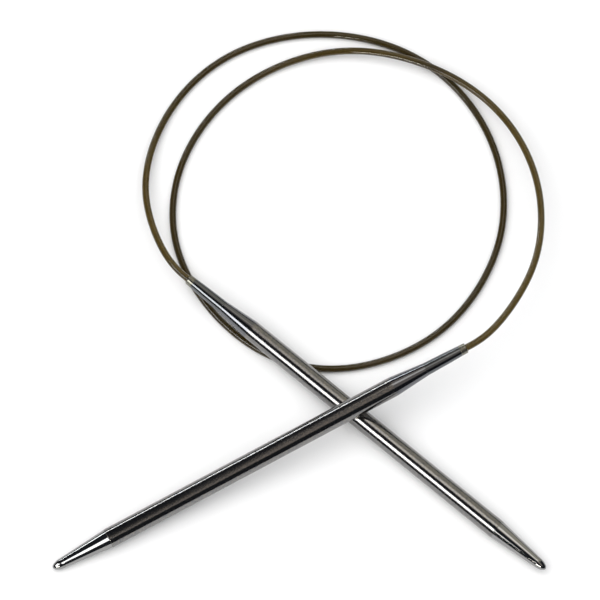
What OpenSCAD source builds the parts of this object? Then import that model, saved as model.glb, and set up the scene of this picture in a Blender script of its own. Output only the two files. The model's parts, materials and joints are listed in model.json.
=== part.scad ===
// Circular knitting needle: two straight metal needles joined by one flexible nylon cable.
// Millimetres, +Z up. The origin is on the surface, under the middle of the two needles.
// The needles lie crossed, needle A over needle B, and the cable lies in a double loop behind.

/* [Needles] */
// Outside diameter of the needle shafts
shaft_d = 5.5; // [5.25:0.05:5.75]
// Wall of the shaft tubes
shaft_wall = 0.5; // [0.4:0.05:0.6]
// Length of a needle, from its tip to the mouth where the cable leaves
needle_l = 127; // [124:0.5:128]

/* [Points] */
// Length of the conical point, with its rounded nose
point_l = 17; // [14:0.5:18]
// Diameter of the point behind its rounded nose
nose_d = 2.92; // [2.4:0.04:3.2]
// Length of the rounded nose
nose_l = 3.4; // [2.4:0.1:4.4]
// Length of the gauged land behind the point
land_l = 8; // [6:0.5:12]
// How much less the land's radius is than the shaft's
land_step = 0.005; // [0.004:0.001:0.01]

/* [Cable end of a needle] */
// Distance from the mouth to the front edge of the swaged shaft
swage_front = 12.5; // [12:0.1:13]
// Distance from the mouth to the back of the swaged shaft
swage_back = 22.5; // [21:0.5:24]
// Diameter of the swaged shaft's front edge
neck_d = 3.65; // [3.6:0.01:3.75]
// Length of the light collar at the mouth
collar_l = 1.9; // [1.6:0.1:2.2]
// Diameter of the collar at the mouth
mouth_d = 2.86; // [2.8:0.02:2.9]
// Depth of the hidden seat behind the swaged cone
seat_l = 3.5; // [2.5:0.5:6]

/* [Cable] */
// Diameter of the cable
cable_d = 1.9; // [1.8:0.02:1.9]
// How far the cable runs inside each needle, up to its stop
cable_in = 5.3; // [5.2:0.05:5.5]
// Length of the metal stop on each end of the cable
stop_l = 6.1; // [5.6:0.1:6.1]
// Diameter of the stop
stop_d = 2.6; // [2.56:0.01:2.62]

/* [Lay] */
// Heading of needle A, from its tip to its mouth, about +Z from +X
heading_a = 27.8; // [27.5:0.1:28]
// Heading of needle B
heading_b = 139.7; // [139.5:0.1:140]
// Upward tilt of needle A, which rests on its point and leans on the cable
tilt_a = 5.3; // [5.3:0.05:5.4]
// Upward tilt of needle B
tilt_b = 1.5; // [1.5:0.05:1.55]

/* [Hidden] */
$fn = 48;

steel = [0.45, 0.46, 0.47];
bright = [0.80, 0.81, 0.82];
slate = [0.33, 0.34, 0.36];
pale = [0.66, 0.64, 0.58];
brass = [0.70, 0.60, 0.38];
nylon = [0.23, 0.18, 0.12];

fit = 0.01;
shaft_r = shaft_d / 2;
bore_r = shaft_r - shaft_wall;
land_r = shaft_r - land_step;
nose_r = nose_d / 2;
spigot_l = 6;

neck_r = neck_d / 2;
neck_wall = 0.345;
mouth_r = mouth_d / 2;
ferrule_front_r = mouth_r + 0.045;
ferrule_mid_r = 1.645;
ferrule_mid = 6;
ferrule_back_r = neck_r - 0.025;

cable_r = cable_d / 2;
cable_bore_r = 1.1;
stop_r = stop_d / 2;
stop_chamfer = 0.15;
chamber_r = stop_r + 0.05;
chamber_front = cable_in - 0.3;
chamber_back = cable_in + stop_l + 0.2;
collar_edge = 0.25;
collar_groove = 0.15;

// Where each needle's mouth lies. A needle rests on the edge behind its point.
mouth_a = [45.3, 18.5, rest_z(tilt_a)];
mouth_b = [-30.3, 41.0, rest_z(tilt_b)];
along_a = heading(heading_a, tilt_a);
along_b = heading(heading_b, tilt_b);

// The cable's route from needle B's mouth to needle A's. These points steer a smooth
// curve (a uniform cubic B-spline). From B it drops to the surface and goes round the
// outer left, far side and right, under shaft B, up the inner left, over itself at the
// far right, and climbs round the outer right to needle A.
route = [
    [-39.0, 52.0, 5.3],
    [-43.5, 67.5, 3.3],
    [-40.5, 84.0, 1.5],
    [-32.5, 98.5, 0.95],
    [-20.0, 109.5, 0.95],
    [-4.0, 115.0, 0.95],
    [12.5, 115.5, 0.95],
    [28.4, 111.2, 0.95],
    [41.7, 102.15, 0.95],
    [51.7, 88.3, 0.95],
    [56.5, 73.0, 0.95],
    [56.5, 56.5, 0.95],
    [50.5, 41.0, 0.95],
    [40.5, 28.0, 0.95],
    [26.5, 19.5, 0.95],
    [10.0, 15.5, 0.95],
    [-6.5, 18.5, 0.95],
    [-20.0, 28.0, 0.95],
    [-30.0, 41.0, 0.95],
    [-35.5, 56.0, 0.95],
    [-34.5, 73.0, 0.95],
    [-27.5, 88.0, 0.95],
    [-16.5, 100.0, 0.95],
    [-1.5, 108.0, 1.2],
    [14.5, 110.5, 2.6],
    [30.5, 107.5, 3.0],
    [45.8, 100.35, 3.2],
    [57.75, 88.7, 4.4],
    [65.0, 73.5, 6.4],
    [67.0, 57.5, 9.1],
    [64.5, 41.5, 11.9],
    [56.0, 27.0, 13.6],
];

// The ends of the curve are straight, along each needle's own axis.
steer = concat(
    [for (k = [-2:1]) mouth_b + k * cable_in * along_b],
    route,
    [for (k = [1:-1:-2]) mouth_a + k * cable_in * along_a]
);
rings_per_span = 2;
sides = 8;
corner_r = cable_r / cos(180 / sides);
spans = len(steer) - 3;
rings = spans * rings_per_span + 1;

function rest_z(tilt) = land_r * cos(tilt) + (needle_l - point_l) * sin(tilt);

function heading(turn, tilt) = [cos(turn) * cos(tilt), sin(turn) * cos(tilt), sin(tilt)];

function unit(v) = v / norm(v);

// Weights of a cubic B-spline, and of its slope, at t from 0 to 1 in one span
function weights(t) = [
    pow(1 - t, 3) / 6,
    (3 * pow(t, 3) - 6 * pow(t, 2) + 4) / 6,
    (-3 * pow(t, 3) + 3 * pow(t, 2) + 3 * t + 1) / 6,
    pow(t, 3) / 6,
];
function slopes(t) = [
    -pow(1 - t, 2) / 2,
    (3 * pow(t, 2) - 4 * t) / 2,
    (-3 * pow(t, 2) + 2 * t + 1) / 2,
    pow(t, 2) / 2,
];
function blend(w, i) = w[0] * steer[i] + w[1] * steer[i + 1] + w[2] * steer[i + 2] + w[3] * steer[i + 3];

function span_of(k) = min(floor(k / rings_per_span), spans - 1);
function spot_of(k) = k / rings_per_span - span_of(k);
function centre(k) = blend(weights(spot_of(k)), span_of(k));
function along(k) = unit(blend(slopes(spot_of(k)), span_of(k)));

// Corner s of ring k, square to the cable, with a flat side down
function corner(k, s) =
    let (t = along(k), side = unit(cross([0, 0, 1], t)), up = cross(t, side), a = 360 * (s + 0.5) / sides)
    centre(k) + corner_r * (cos(a) * side + sin(a) * up);

function at(k, s) = k * sides + s % sides;

// Sets a piece drawn tip-down along +Z onto a needle's axis
module lay(mouth, turn, tilt) {
    translate(mouth)
    rotate([0, 0, turn])
    rotate([0, 90 - tilt, 0])
    translate([0, 0, -needle_l])
    children();
}

module on_a() {
    lay(mouth_a, heading_a, tilt_a) children();
}

module on_b() {
    lay(mouth_b, heading_b, tilt_b) children();
}

// Seamless tube from the point to the swaged cone, with the gauged land in front
module shaft() {
    front = needle_l - swage_front;
    back = needle_l - swage_back;
    rotate_extrude() polygon([
        [bore_r, point_l],
        [land_r, point_l],
        [land_r, point_l + land_l],
        [shaft_r, point_l + land_l + 0.6],
        [shaft_r, back],
        [neck_r, front],
        [neck_r - neck_wall, front],
        [bore_r, back],
    ]);
}

// Solid point: elliptical nose, cone, and a spigot inside the shaft
module point() {
    rotate_extrude() polygon(concat(
        [for (a = [0:15:90]) [nose_r * sin(a), nose_l * (1 - cos(a))]],
        [
            [land_r - 0.035, point_l],
            [bore_r - fit, point_l],
            [bore_r - fit, point_l + spigot_l],
            [0, point_l + spigot_l],
        ]
    ));
}

// Slim join sleeve: its root sits inside the swaged cone, and its chamber holds the stop
module ferrule() {
    rotate_extrude() polygon([
        [cable_bore_r, needle_l - collar_l],
        [ferrule_front_r, needle_l - collar_l],
        [ferrule_mid_r, needle_l - ferrule_mid],
        [ferrule_back_r, needle_l - swage_front],
        [neck_r - neck_wall - fit, needle_l - swage_front],
        [bore_r - fit, needle_l - swage_back],
        [bore_r - fit, needle_l - swage_back - seat_l],
        [0, needle_l - swage_back - seat_l],
        [0, needle_l - chamber_back],
        [chamber_r, needle_l - chamber_back],
        [chamber_r, needle_l - chamber_front],
        [cable_bore_r, needle_l - chamber_front],
    ]);
}

// End ring at the mouth, with a rounded front edge and a fine groove behind it
module collar() {
    back = needle_l - collar_l;
    rotate_extrude() polygon(concat(
        [
            [cable_bore_r, back],
            [mouth_r - 0.05, back],
            [mouth_r - 0.05, back + collar_groove],
            [mouth_r + 0.04, back + collar_groove],
        ],
        [for (a = [0:22.5:90]) [
            mouth_r - collar_edge * (1 - cos(a)),
            needle_l - collar_edge * (1 - sin(a)),
        ]],
        [[cable_bore_r, needle_l]]
    ));
}

// Metal stop on the end of the cable, free to turn in the ferrule's chamber
module stop() {
    front = needle_l - cable_in;
    rotate_extrude() polygon([
        [0, front - stop_l],
        [stop_r - stop_chamfer, front - stop_l],
        [stop_r, front - stop_l + stop_chamfer],
        [stop_r, front - stop_chamfer],
        [stop_r - stop_chamfer, front],
        [0, front],
    ]);
}

module shaft_a() {
    color(steel) on_a() shaft();
}

module point_a() {
    color(bright) on_a() point();
}

module ferrule_a() {
    color(slate) on_a() ferrule();
}

module collar_a() {
    color(pale) on_a() collar();
}

module stop_a() {
    color(brass) on_a() stop();
}

module shaft_b() {
    color(steel) on_b() shaft();
}

module point_b() {
    color(bright) on_b() point();
}

module ferrule_b() {
    color(slate) on_b() ferrule();
}

module collar_b() {
    color(pale) on_b() collar();
}

module stop_b() {
    color(brass) on_b() stop();
}

// One closed tube from stop to stop
module cable() {
    color(nylon)
    polyhedron(
        points = [for (k = [0:rings - 1]) for (s = [0:sides - 1]) corner(k, s)],
        faces = concat(
            [[for (s = [0:sides - 1]) at(0, s)]],
            [for (k = [0:rings - 2]) for (s = [0:sides - 1])
                [at(k, s), at(k + 1, s), at(k + 1, s + 1), at(k, s + 1)]],
            [[for (s = [sides - 1:-1:0]) at(rings - 1, s)]]
        )
    );
}

shaft_a();
point_a();
ferrule_a();
collar_a();
stop_a();
shaft_b();
point_b();
ferrule_b();
collar_b();
stop_b();
cable();
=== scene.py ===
"""Circular knitting needle, dressed for its portrait.

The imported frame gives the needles' places and joints. This script lays the camera and the
cable first, then turns the metal pieces of both needles, then lights them. Metres, +Z up.
"""

import json
from math import cos, pi, radians, sin, tan

import bmesh
import bpy
from mathutils import Matrix, Vector


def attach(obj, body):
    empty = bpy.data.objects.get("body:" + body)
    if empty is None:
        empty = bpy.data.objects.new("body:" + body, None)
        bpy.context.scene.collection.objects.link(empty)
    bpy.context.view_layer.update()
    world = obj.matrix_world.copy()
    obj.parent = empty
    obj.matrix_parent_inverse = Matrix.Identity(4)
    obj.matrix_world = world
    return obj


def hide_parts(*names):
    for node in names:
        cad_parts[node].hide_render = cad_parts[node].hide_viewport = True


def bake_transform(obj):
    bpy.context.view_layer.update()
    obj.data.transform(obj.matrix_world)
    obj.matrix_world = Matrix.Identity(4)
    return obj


MM = 0.001

# ---------------------------------------------------------------- sizes
# The view: from the front, high up, with a long lens
VIEW_ELEVATION = radians(70)
VIEW_DISTANCE = 2.0
VIEW_WIDTH = 164.4 * MM
VIEW_AIM = Vector((0.2 * MM, 37.0 * MM, 0.0))
SENSOR = 36.0

# A needle, measured back from its tip (point) or from its mouth (the cable end)
NEEDLE_L = 127.0 * MM
SHAFT_R = 2.75 * MM
BORE_R = 2.25 * MM
LAND_R = 2.745 * MM
LAND_L = 8.0 * MM
LAND_SLOPE_L = 0.6 * MM
POINT_L = 17.0 * MM
POINT_BASE_R = 2.71 * MM
SPIGOT_L = 6.0 * MM
NOSE_L = 3.4 * MM
NOSE_R = 1.46 * MM
SWAGE_FRONT = 12.5 * MM
SWAGE_BACK = 22.5 * MM
SWAGE_BEND_R = 14.0 * MM
SEAT_L = 3.5 * MM
NECK_R = 1.825 * MM
NECK_WALL = 0.345 * MM
FERRULE_MID = 6.0 * MM
FERRULE_MID_R = 1.645 * MM
FERRULE_BEND_R = 30.0 * MM
COLLAR_L = 1.9 * MM
COLLAR_EDGE = 0.25 * MM
COLLAR_GROOVE = 0.15 * MM
COLLAR_LIP_R = 0.04 * MM
MOUTH_R = 1.43 * MM
CABLE_BORE_R = 1.1 * MM
CHAMBER_R = 1.35 * MM
CHAMBER_FRONT = 5.0 * MM
CHAMBER_BACK = 11.6 * MM
FIT = 0.01 * MM

# Small steps in radius where one piece meets the next
NECK_STEP = 0.025 * MM
FERRULE_STEP = 0.045 * MM
COLLAR_STEP = 0.04 * MM
COLLAR_GROOVE_DEPTH = 0.05 * MM

# How round the machined edges are
FINE_EDGE_R = 0.05 * MM
EDGE_R = 0.10 * MM
SPIGOT_EDGE_R = 0.2 * MM
BORE_EDGE_R = 0.06 * MM

# The cable, and the length past the mouth over which its bend weights fall off
CABLE_D = 1.9 * MM
CABLE_IN = 5.3 * MM
BEND_L = 45.0 * MM

# Steps round a turned piece, round the arc of a corner and along the nose
TURNED_STEPS = 96
ARC_STEPS = 8
NOSE_STEPS = 14
# How far from a corner the shading is held straight, and the turn past which an edge is sharp
HOLD = 0.15 * MM
SHARP = radians(28)
# Steps round the cable, and along one span of it
CABLE_STEPS = 24
SPAN_STEPS = 16

# The points that steer the cable from needle B's mouth to needle A's, as in the CAD source
ROUTE = [
    (-0.0390, 0.0520, 0.00530),
    (-0.0435, 0.0675, 0.00330),
    (-0.0405, 0.0840, 0.00150),
    (-0.0325, 0.0985, 0.00095),
    (-0.0200, 0.1095, 0.00095),
    (-0.0040, 0.1150, 0.00095),
    (0.0125, 0.1155, 0.00095),
    (0.0284, 0.1112, 0.00095),
    (0.0417, 0.10215, 0.00095),
    (0.0517, 0.0883, 0.00095),
    (0.0565, 0.0730, 0.00095),
    (0.0565, 0.0565, 0.00095),
    (0.0505, 0.0410, 0.00095),
    (0.0405, 0.0280, 0.00095),
    (0.0265, 0.0195, 0.00095),
    (0.0100, 0.0155, 0.00095),
    (-0.0065, 0.0185, 0.00095),
    (-0.0200, 0.0280, 0.00095),
    (-0.0300, 0.0410, 0.00095),
    (-0.0355, 0.0560, 0.00095),
    (-0.0345, 0.0730, 0.00095),
    (-0.0275, 0.0880, 0.00095),
    (-0.0165, 0.1000, 0.00095),
    (-0.0015, 0.1080, 0.00120),
    (0.0145, 0.1105, 0.00260),
    (0.0305, 0.1075, 0.00300),
    (0.0458, 0.10035, 0.00320),
    (0.05775, 0.0887, 0.00440),
    (0.0650, 0.0735, 0.00640),
    (0.0670, 0.0575, 0.00910),
    (0.0645, 0.0415, 0.01190),
    (0.0560, 0.0270, 0.01360),
]
# The span in which the cable passes under needle B's shaft, where its two halves meet
SPLIT_SPAN = 18

# The floor, which lies just clear of the object, and the colour of an untinted light
FLOOR_HALF = 3.0
FLOOR_GAP = 0.02 * MM
WHITE = (1.0, 1.0, 1.0)


# ---------------------------------------------------------------- frame
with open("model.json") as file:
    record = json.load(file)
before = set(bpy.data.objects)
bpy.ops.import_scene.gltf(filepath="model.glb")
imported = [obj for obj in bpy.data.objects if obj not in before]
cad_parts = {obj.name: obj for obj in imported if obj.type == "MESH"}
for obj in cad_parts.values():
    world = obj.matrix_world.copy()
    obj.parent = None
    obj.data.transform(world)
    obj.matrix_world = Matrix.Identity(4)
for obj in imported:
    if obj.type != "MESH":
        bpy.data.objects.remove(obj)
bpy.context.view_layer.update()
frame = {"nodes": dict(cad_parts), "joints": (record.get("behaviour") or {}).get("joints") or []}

UP = Vector((0, 0, 1))


def joint(name):
    return next(j for j in frame["joints"] if j["name"] == name)


class Needle:
    """One needle's letter, mouth and direction, from tip to mouth."""

    def __init__(self, letter):
        turn = joint(f"needle_{letter}_turn")
        self.letter = letter
        self.body = f"needle_{letter}"
        self.join = f"join_{letter}"
        self.mouth = Vector(turn["pos_m"])
        self.along = Vector(turn["axis"]).normalized()

    def place(self):
        """Puts local +Z along the needle, with the tip at the local origin."""
        side = UP.cross(self.along).normalized()
        up = self.along.cross(side)
        turned = Matrix((side, up, self.along)).transposed().to_4x4()
        return Matrix.Translation(self.mouth - NEEDLE_L * self.along) @ turned


needle_a = Needle("a")
needle_b = Needle("b")


# ---------------------------------------------------------------- camera
def add_camera():
    data = bpy.data.cameras.new("camera")
    data.sensor_width = SENSOR
    data.lens = SENSOR * VIEW_DISTANCE / VIEW_WIDTH
    data.clip_end = 10 * VIEW_DISTANCE
    camera = bpy.data.objects.new("camera", data)
    bpy.context.scene.collection.objects.link(camera)
    back = Vector((0, -cos(VIEW_ELEVATION), sin(VIEW_ELEVATION)))
    camera.location = VIEW_AIM + VIEW_DISTANCE * back
    camera.rotation_euler = (pi / 2 - VIEW_ELEVATION, 0, 0)
    bpy.context.scene.camera = camera


# ---------------------------------------------------------------- materials
def new_material(name, **values):
    """A node material whose Principled sockets start at these values."""
    mat = bpy.data.materials.new(name)
    mat.use_nodes = True
    shader = mat.node_tree.nodes["Principled BSDF"]
    for key, value in values.items():
        shader.inputs[key.replace("_", " ")].default_value = value
    return mat, mat.node_tree, shader


def add_node(tree, kind, **settings):
    node = tree.nodes.new(kind)
    for key, value in settings.items():
        setattr(node, key, value)
    return node


def object_place(tree, stretch=(1, 1, 1)):
    """The place on the piece in its own metres, stretched."""
    place = add_node(tree, "ShaderNodeTexCoord")
    mapping = add_node(tree, "ShaderNodeMapping")
    mapping.inputs["Scale"].default_value = stretch
    tree.links.new(place.outputs["Object"], mapping.inputs["Vector"])
    return mapping.outputs["Vector"]


def noise(tree, vector, scale, detail=2.0, roughness=0.5):
    """Noise from 0 to 1. The scale is how many of its cells go into a metre."""
    node = add_node(tree, "ShaderNodeTexNoise")
    node.inputs["Scale"].default_value = scale
    node.inputs["Detail"].default_value = detail
    node.inputs["Roughness"].default_value = roughness
    tree.links.new(vector, node.inputs["Vector"])
    return node.outputs["Fac"]


def remap(tree, value, low, high, new_low, new_high):
    node = add_node(tree, "ShaderNodeMapRange")
    for socket, number in zip(
        ("From Min", "From Max", "To Min", "To Max"), (low, high, new_low, new_high)
    ):
        node.inputs[socket].default_value = number
    tree.links.new(value, node.inputs["Value"])
    return node.outputs["Result"]


def combine(tree, operation, a, b):
    node = add_node(tree, "ShaderNodeMath", operation=operation)
    for socket, value in zip(node.inputs, (a, b)):
        if isinstance(value, (int, float)):
            socket.default_value = value
        else:
            tree.links.new(value, socket)
    return node.outputs[0]


def two_colours(tree, factor, first, second):
    ramp = add_node(tree, "ShaderNodeValToRGB")
    ramp.color_ramp.elements[0].color = (*first, 1)
    ramp.color_ramp.elements[1].color = (*second, 1)
    tree.links.new(factor, ramp.inputs["Fac"])
    return ramp.outputs["Color"]


def add_tint(tree, shader, factor, first, second):
    tree.links.new(two_colours(tree, factor, first, second), shader.inputs["Base Color"])


def add_roughness(tree, shader, cloud, low, high):
    """Roughness that drifts between two values. Most of a noise lies from 0.3 to 0.7."""
    tree.links.new(remap(tree, cloud, 0.3, 0.7, low, high), shader.inputs["Roughness"])


def add_bump(tree, shader, height, distance):
    bump = add_node(tree, "ShaderNodeBump")
    bump.inputs["Strength"].default_value = 1.0
    bump.inputs["Distance"].default_value = distance
    tree.links.new(height, bump.inputs["Height"])
    tree.links.new(bump.outputs["Normal"], shader.inputs["Normal"])


def along_needle(tree):
    """Distance from the tip, in metres. Turned pieces have the tip at their origin."""
    place = add_node(tree, "ShaderNodeTexCoord")
    split = add_node(tree, "ShaderNodeSeparateXYZ")
    tree.links.new(place.outputs["Object"], split.inputs["Vector"])
    return split.outputs["Z"]


def plated_shaft():
    """Dark nickel plate: fine pebbled grain up to the swaged cone, which is smoother."""
    reach = 0.4 * MM
    fade = 0.1 * MM
    mat, tree, shader = new_material("plated_shaft", Metallic=1.0)
    where = object_place(tree, (1, 1, 0.55))
    grain = noise(tree, where, 3600, detail=3.0, roughness=0.6)
    cloud = noise(tree, object_place(tree, (1, 1, 0.3)), 260)
    distance = along_needle(tree)
    start = NEEDLE_L - SWAGE_BACK
    ragged = combine(tree, "ADD", distance, remap(tree, grain, 0, 1, -reach, reach))
    grainy = remap(tree, ragged, start - fade, start + fade, 1.0, 0.12)
    height = combine(tree, "MULTIPLY", grain, grainy)
    add_bump(tree, shader, height, 0.014 * MM)
    mottle = combine(tree, "MULTIPLY", remap(tree, grain, 0.38, 0.62, 0, 1), grainy)
    add_tint(tree, shader, mottle, (0.150, 0.155, 0.167), (0.265, 0.252, 0.232))
    add_roughness(tree, shader, cloud, 0.11, 0.16)
    return mat


def polished_point():
    """The same metal, polished, with faint polishing rings."""
    mat, tree, shader = new_material("polished_point", Metallic=1.0)
    rings = noise(tree, object_place(tree, (0.05, 0.05, 1)), 2600)
    cloud = noise(tree, object_place(tree), 320)
    add_bump(tree, shader, rings, 0.0006 * MM)
    add_tint(tree, shader, cloud, (0.27, 0.275, 0.28), (0.31, 0.305, 0.29))
    add_roughness(tree, shader, cloud, 0.04, 0.07)
    return mat


def join_sleeve():
    """Smooth slate metal with fine drawn lines along it."""
    mat, tree, shader = new_material("join_sleeve", Metallic=1.0)
    lines = noise(tree, object_place(tree, (1, 1, 0.04)), 5200)
    cloud = noise(tree, object_place(tree, (1, 1, 0.4)), 420)
    add_bump(tree, shader, lines, 0.0025 * MM)
    add_tint(tree, shader, cloud, (0.118, 0.126, 0.134), (0.145, 0.152, 0.156))
    add_roughness(tree, shader, cloud, 0.10, 0.16)
    return mat


def end_collar():
    """Paler, duller ring at the mouth."""
    mat, tree, shader = new_material("end_collar", Metallic=1.0)
    rings = noise(tree, object_place(tree, (0.1, 0.1, 1)), 9000)
    cloud = noise(tree, object_place(tree), 1500)
    add_bump(tree, shader, rings, 0.004 * MM)
    add_tint(tree, shader, cloud, (0.20, 0.197, 0.165), (0.26, 0.25, 0.21))
    add_roughness(tree, shader, cloud, 0.24, 0.34)
    return mat


def cable_stop():
    """Plain brass of the hidden stops, with turning marks."""
    mat, tree, shader = new_material("cable_stop", Metallic=1.0)
    marks = noise(tree, object_place(tree), 4000)
    add_bump(tree, shader, marks, 0.004 * MM)
    add_tint(tree, shader, marks, (0.58, 0.44, 0.20), (0.70, 0.56, 0.30))
    add_roughness(tree, shader, marks, 0.22, 0.36)
    return mat


def nylon_cable():
    """Dark olive-brown translucent nylon: glossy and faintly clouded."""
    mat, tree, shader = new_material(
        "nylon_cable",
        IOR=1.53,
        Transmission_Weight=0.72,
        Specular_IOR_Level=0.25,
    )
    cloud = noise(tree, object_place(tree), 90, detail=3.0)
    add_tint(tree, shader, cloud, (0.076, 0.050, 0.011), (0.112, 0.076, 0.018))
    add_roughness(tree, shader, cloud, 0.06, 0.10)
    return mat


def pale_floor():
    mat, tree, shader = new_material("pale_floor", Roughness=0.9, Specular_IOR_Level=0.1)
    shade = noise(tree, object_place(tree), 40)
    add_tint(tree, shader, shade, (0.89, 0.89, 0.89), (0.90, 0.90, 0.90))
    return mat


# ---------------------------------------------------------------- cable
def spline_weights(t):
    """How much each of four steering points counts, at t from 0 to 1 in a span."""
    return (
        (1 - t) ** 3 / 6,
        (3 * t**3 - 6 * t**2 + 4) / 6,
        (-3 * t**3 + 3 * t**2 + 3 * t + 1) / 6,
        t**3 / 6,
    )


def cable_line():
    """The cable's centreline from stop to stop, as a uniform cubic B-spline."""
    steer = [needle_b.mouth + k * CABLE_IN * needle_b.along for k in (-2, -1, 0, 1)]
    steer += [Vector(p) for p in ROUTE]
    steer += [needle_a.mouth + k * CABLE_IN * needle_a.along for k in (1, 0, -1, -2)]
    line = []
    for span in range(len(steer) - 3):
        for step in range(SPAN_STEPS):
            weights = spline_weights(step / SPAN_STEPS)
            line.append(sum((w * steer[span + i] for i, w in enumerate(weights)), Vector()))
    line.append(sum((w * steer[-4 + i] for i, w in enumerate(spline_weights(1))), Vector()))
    return line


def arc_lengths(line):
    lengths = [0.0]
    for a, b in zip(line, line[1:]):
        lengths.append(lengths[-1] + (b - a).length)
    return lengths


def tube(name, line, radius, steps):
    """A closed round tube along a line, smooth, with sharp-edged flat ends."""
    mesh = bpy.data.meshes.new(name)
    bm = bmesh.new()
    rings = []
    for k, centre in enumerate(line):
        ahead = (line[min(k + 1, len(line) - 1)] - line[max(k - 1, 0)]).normalized()
        side = UP.cross(ahead).normalized()
        up = ahead.cross(side)
        turns = [2 * pi * s / steps for s in range(steps)]
        rings.append(
            [bm.verts.new(centre + radius * (cos(a) * side + sin(a) * up)) for a in turns]
        )
    for ring, following in zip(rings, rings[1:]):
        for s in range(steps):
            n = (s + 1) % steps
            bm.faces.new((ring[s], ring[n], following[n], following[s])).smooth = True
    for ring in (rings[0][::-1], rings[-1]):
        end = bm.faces.new(ring)
        for edge in end.edges:
            edge.smooth = False
    bm.to_mesh(mesh)
    bm.free()
    return add_object(name, mesh)


def add_object(name, mesh):
    obj = bpy.data.objects.new(name, mesh)
    bpy.context.scene.collection.objects.link(obj)
    return obj


def give(obj, material):
    obj.data.materials.clear()
    obj.data.materials.append(material)


def fade_out(t):
    """Falls smoothly from 1 at t = 0 to 0 at t = 1, and stays there."""
    t = min(max(t, 0), 1)
    return 1 - t * t * (3 - 2 * t)


def half_cable(name, line, material):
    """The cable from one needle's stop to the middle. Its bend weights are worked out but not
    kept.
    """
    obj = tube(name, line, CABLE_D / 2, CABLE_STEPS)
    give(obj, material)
    lengths = arc_lengths(line)
    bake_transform(obj)
    bends = []
    for length in lengths:
        bends += [fade_out((length - CABLE_IN) / BEND_L)] * CABLE_STEPS
    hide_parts("cable")


def add_cable():
    line = cable_line()
    split = SPLIT_SPAN * SPAN_STEPS
    material = nylon_cable()
    half_cable("cable_to_b", line[: split + 1], material)
    half_cable("cable_to_a", line[split:][::-1], material)


# ---------------------------------------------------------------- turned metal
def rounded(outline):
    """Rounds an outline of (radius, distance) corners. A third number is a corner's own arc."""
    points = []
    corners = [Vector(corner[:2]) for corner in outline]
    following = corners[1:] + corners[:1]
    for i, here in enumerate(corners):
        if len(outline[i]) == 2:
            points.append(here)
            continue
        size = outline[i][2]
        before = (corners[i - 1] - here).normalized()
        after = (following[i] - here).normalized()
        half = before.angle(after) / 2
        reach = size / tan(half)
        centre = here + (before + after).normalized() * (size / sin(half))
        start = here + before * reach - centre
        end = here + after * reach - centre
        sweep = start.angle_signed(end)
        for k in range(ARC_STEPS + 1):
            points.append(centre + Matrix.Rotation(-sweep * k / ARC_STEPS, 2) @ start)
    return points


def held(outline):
    """Adds a point just inside each end of a long side, so that it's shaded straight."""
    points = []
    for here, there in zip(outline, outline[1:] + outline[:1]):
        points.append(here)
        side = there - here
        if side.length > 4 * HOLD:
            points += [here + HOLD * side.normalized(), there - HOLD * side.normalized()]
    return points


def turned(name, needle, outline, material, slot, node):
    """Turns a closed outline about the needle's own axis."""
    mesh = bpy.data.meshes.new(name)
    bm = bmesh.new()
    rings = []
    for radius, distance in held(outline):
        if radius == 0:
            rings.append([bm.verts.new((0, 0, distance))])
            continue
        turns = [2 * pi * s / TURNED_STEPS for s in range(TURNED_STEPS)]
        rings.append([bm.verts.new((radius * cos(a), radius * sin(a), distance)) for a in turns])
    for ring, following in zip(rings, rings[1:] + rings[:1]):
        for s in range(TURNED_STEPS):
            n = (s + 1) % TURNED_STEPS
            corners = [ring[s % len(ring)], ring[n % len(ring)]]
            corners += [following[n % len(following)], following[s % len(following)]]
            corners = list(dict.fromkeys(corners))
            if len(corners) > 2:
                bm.faces.new(corners)
    bmesh.ops.recalc_face_normals(bm, faces=bm.faces)
    for face in bm.faces:
        face.smooth = True
    for edge in bm.edges:
        edge.smooth = edge.calc_face_angle(0) < SHARP
    bm.to_mesh(mesh)
    bm.free()
    obj = add_object(name, mesh)
    obj.matrix_world = needle.place()
    give(obj, material)
    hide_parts(node)
    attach(obj, needle.body)


def shaft_outline():
    front = NEEDLE_L - SWAGE_FRONT
    back = NEEDLE_L - SWAGE_BACK
    outline = [
        (BORE_R, POINT_L),
        (LAND_R, POINT_L, FINE_EDGE_R),
        (LAND_R, POINT_L + LAND_L),
        (SHAFT_R, POINT_L + LAND_L + LAND_SLOPE_L),
        (SHAFT_R, back, SWAGE_BEND_R),
        (NECK_R, front, EDGE_R),
        (NECK_R - NECK_WALL, front),
        (BORE_R, back),
    ]
    return rounded(outline)


def point_outline():
    nose = [
        (NOSE_R * sin(a), NOSE_L * (1 - cos(a)))
        for a in (pi / 2 * k / NOSE_STEPS for k in range(NOSE_STEPS + 1))
    ]
    base = [
        (POINT_BASE_R, POINT_L, EDGE_R),
        (BORE_R - FIT, POINT_L),
        (BORE_R - FIT, POINT_L + SPIGOT_L, SPIGOT_EDGE_R),
        (0.0, POINT_L + SPIGOT_L),
    ]
    return rounded(nose + base)


def ferrule_outline():
    outline = [
        (CABLE_BORE_R, NEEDLE_L - COLLAR_L),
        (MOUTH_R + FERRULE_STEP, NEEDLE_L - COLLAR_L, FINE_EDGE_R),
        (FERRULE_MID_R, NEEDLE_L - FERRULE_MID, FERRULE_BEND_R),
        (NECK_R - NECK_STEP, NEEDLE_L - SWAGE_FRONT),
        (NECK_R - NECK_WALL - FIT, NEEDLE_L - SWAGE_FRONT),
        (BORE_R - FIT, NEEDLE_L - SWAGE_BACK),
        (BORE_R - FIT, NEEDLE_L - SWAGE_BACK - SEAT_L),
        (0.0, NEEDLE_L - SWAGE_BACK - SEAT_L),
        (0.0, NEEDLE_L - CHAMBER_BACK),
        (CHAMBER_R, NEEDLE_L - CHAMBER_BACK),
        (CHAMBER_R, NEEDLE_L - CHAMBER_FRONT),
        (CABLE_BORE_R, NEEDLE_L - CHAMBER_FRONT),
    ]
    return rounded(outline)


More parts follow.
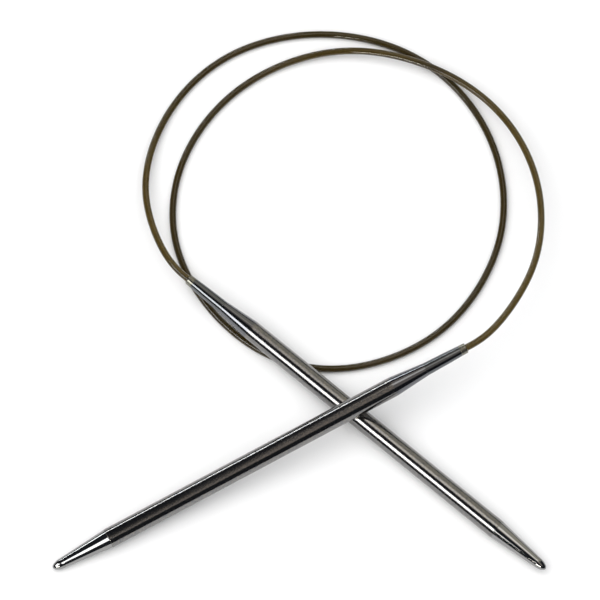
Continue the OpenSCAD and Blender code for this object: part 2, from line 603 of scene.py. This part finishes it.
def collar_outline():
    back = NEEDLE_L - COLLAR_L
    outline = [
        (CABLE_BORE_R, back),
        (MOUTH_R - COLLAR_GROOVE_DEPTH, back),
        (MOUTH_R - COLLAR_GROOVE_DEPTH, back + COLLAR_GROOVE),
        (MOUTH_R + COLLAR_STEP, back + COLLAR_GROOVE, COLLAR_LIP_R),
        (MOUTH_R, NEEDLE_L, COLLAR_EDGE),
        (CABLE_BORE_R, NEEDLE_L, BORE_EDGE_R),
    ]
    return rounded(outline)


def add_needle(needle, metals):
    parts = {
        "shaft": (shaft_outline(), "plated_shaft"),
        "point": (point_outline(), "polished_point"),
        "ferrule": (ferrule_outline(), "join_sleeve"),
        "collar": (collar_outline(), "end_collar"),
    }
    for part, (outline, slot) in parts.items():
        node = f"{part}_{needle.letter}"
        turned(f"{node}_turned", needle, outline, metals[slot], slot, node)
    give(frame["nodes"][f"stop_{needle.letter}"], metals["cable_stop"])


# ---------------------------------------------------------------- studio
def add_floor():
    mesh = bpy.data.meshes.new("floor")
    sides = ((-1, -1), (1, -1), (1, 1), (-1, 1))
    corners = [(FLOOR_HALF * x, FLOOR_HALF * y, 0) for x, y in sides]
    mesh.from_pydata(corners, [], [(0, 1, 2, 3)])
    floor = add_object("floor", mesh)
    floor.location = (0, 0, -FLOOR_GAP)
    mesh.materials.append(pale_floor())


def add_light(name, size, bright, colour):
    """A flat light of a given brightness."""
    data = bpy.data.lights.new(name, "AREA")
    data.shape = "RECTANGLE"
    data.size, data.size_y = size
    data.energy = bright * size[0] * size[1] * pi
    data.color = colour
    light = bpy.data.objects.new(name, data)
    bpy.context.scene.collection.objects.link(light)
    return light


def shown(light):
    """Shows in metal and nylon, and leaves the floor as it is."""
    light.visible_diffuse = False


def ceiling(name, centre, height, size, bright, turn, colour=WHITE):
    """A light overhead that faces down, turned about the vertical by some degrees."""
    light = add_light(name, size, bright, colour)
    light.location = (*centre, height)
    light.rotation_euler = (0, 0, radians(turn))
    shown(light)


def panel(name, azimuth, elevation, size, bright, colour=WHITE, distance=1.2):
    """A light in a direction from the object, facing it."""
    light = add_light(name, size, bright, colour)
    across = cos(radians(elevation))
    towards = Vector(
        (
            cos(radians(azimuth)) * across,
            sin(radians(azimuth)) * across,
            sin(radians(elevation)),
        )
    )
    light.location = towards * distance
    light.rotation_euler = towards.to_track_quat("Z", "Y").to_euler()
    return light


def add_world():
    """Pale to the camera, dim to everything else, so that bright metal has dark to show."""
    world = bpy.data.worlds.new("studio")
    world.use_nodes = True
    tree = world.node_tree
    tree.nodes.clear()
    path = add_node(tree, "ShaderNodeLightPath")
    dim = add_node(tree, "ShaderNodeBackground")
    dim.inputs["Color"].default_value = (0.030, 0.034, 0.040, 1)
    pale = add_node(tree, "ShaderNodeBackground")
    pale.inputs["Color"].default_value = (0.93, 0.93, 0.93, 1)
    mix = add_node(tree, "ShaderNodeMixShader")
    out = add_node(tree, "ShaderNodeOutputWorld")
    tree.links.new(path.outputs["Is Camera Ray"], mix.inputs["Fac"])
    tree.links.new(dim.outputs["Background"], mix.inputs[1])
    tree.links.new(pale.outputs["Background"], mix.inputs[2])
    tree.links.new(mix.outputs["Shader"], out.inputs["Surface"])
    bpy.context.scene.world = world


def add_lights():
    # Light the floor softly from the left and above, out of the metal's sight
    key = panel("key", 180, 58, size=(1.7, 1.7), bright=1.0, colour=(1.0, 0.99, 0.98))
    fill = panel("fill", -90, 84, size=(4.4, 4.4), bright=1.24, distance=1.5)
    for light in (key, fill):
        light.visible_glossy = False
        light.visible_transmission = False
    # What the metal shows: a window at the left, a soft cream light and a dull glow at the
    # right, a small lamp over needle A's point, a tube low behind at the left, another low in
    # front for the cable's highlight, and an olive wall behind at the right
    cream = (1.0, 0.98, 0.92)
    dusky = (1.0, 0.88, 0.78)
    cool = (0.95, 0.98, 1.0)
    warm = (1.0, 0.97, 0.88)
    olive = (1.0, 0.95, 0.80)
    ceiling("window", (-0.481, -0.246), 0.45, size=(0.38, 0.46), bright=6.0, turn=-44)
    ceiling("cream", (0.185, 0.257), 1.0, size=(0.34, 0.45), bright=1.5, turn=-38, colour=cream)
    ceiling("glow", (0.295, 0.164), 1.6, size=(0.76, 2.7), bright=0.48, turn=19, colour=dusky)
    ceiling("lamp", (-0.056, -0.107), 0.14, size=(0.030, 0.10), bright=4.5, turn=34)
    shown(panel("low_tube", 115, 23, size=(0.9, 0.11), bright=10.0, colour=cool))
    shown(panel("front", -110, 25, size=(0.55, 0.16), bright=28.0, colour=warm))
    shown(panel("wall", 62, 36, size=(0.9, 1.1), bright=0.65, colour=olive))


# ---------------------------------------------------------------- make it all
bpy.context.scene.view_settings.view_transform = "Standard"
add_camera()
add_cable()
metals = {
    "plated_shaft": plated_shaft(),
    "polished_point": polished_point(),
    "join_sleeve": join_sleeve(),
    "end_collar": end_collar(),
    "cable_stop": cable_stop(),
}
add_needle(needle_a, metals)
add_needle(needle_b, metals)
add_floor()
add_world()
add_lights()
